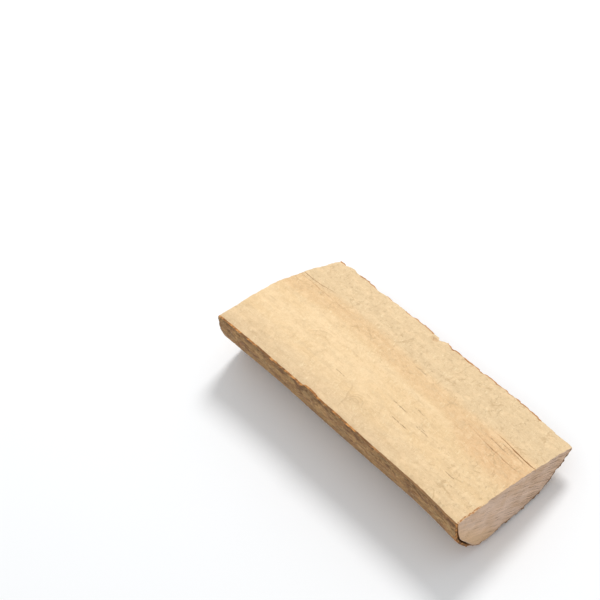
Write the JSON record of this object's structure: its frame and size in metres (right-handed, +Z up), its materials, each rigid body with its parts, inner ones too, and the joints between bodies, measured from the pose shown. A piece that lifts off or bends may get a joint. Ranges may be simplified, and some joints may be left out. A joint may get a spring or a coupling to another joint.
{
  "type": "split log",
  "caption": "Short split firewood log: a slightly crowned split face, sawn ends and a bark-covered rounded underside that it rests on.",
  "frame": {"origin": "middle of the log's footprint, at floor level, with the log lying bark side down", "axes": "+X along the grain towards the sawn end with the open drying cracks, +Y across the split face towards its lower long edge, +Z up"},
  "size_m": [0.3386, 0.1534, 0.0676],
  "materials": {
    "wood": "raw split and sawn wood, dry and matt",
    "bark": "rough dry bark"
  },
  "bodies": {
    "root": {"split_log": "wood"}
  },
  "joints": []
}
